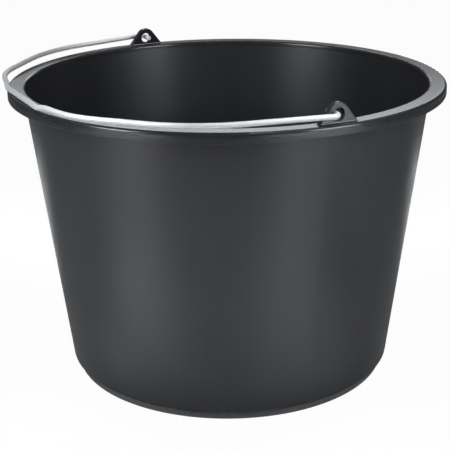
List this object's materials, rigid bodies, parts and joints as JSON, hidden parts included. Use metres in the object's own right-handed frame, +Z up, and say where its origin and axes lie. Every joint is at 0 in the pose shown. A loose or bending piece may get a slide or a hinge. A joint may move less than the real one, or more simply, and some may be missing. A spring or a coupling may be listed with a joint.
{
  "type": "cement bucket",
  "caption": "Round tapered bucket for mixing and carrying cement, with a flat flanged rim, ears moulded on the rim and a swinging wire bail with a straight cranked grip.",
  "frame": {"origin": "centre of the base, on the surface that the foot ring stands on", "axes": "+Z up along the bucket's axis, +X along the bail's pins towards one ear and -X towards the other, -Y the side that the bail lies on"},
  "size_m": [0.3872, 0.38, 0.2755],
  "materials": {
    "black_plastic": "satin injection-moulded plastic, black all through",
    "galvanised_wire": "bright galvanised drawn wire"
  },
  "bodies": {
    "bucket": {"bucket": "black_plastic"},
    "bail": {"bail": "galvanised_wire"}
  },
  "joints": [
    {"name": "bail_swing", "type": "hinge", "parent": "bucket", "child": "bail", "pos_m": [0, 0, 0.2663], "axis": [-1, 0, 0], "range_deg": [0, 182]}
  ]
}
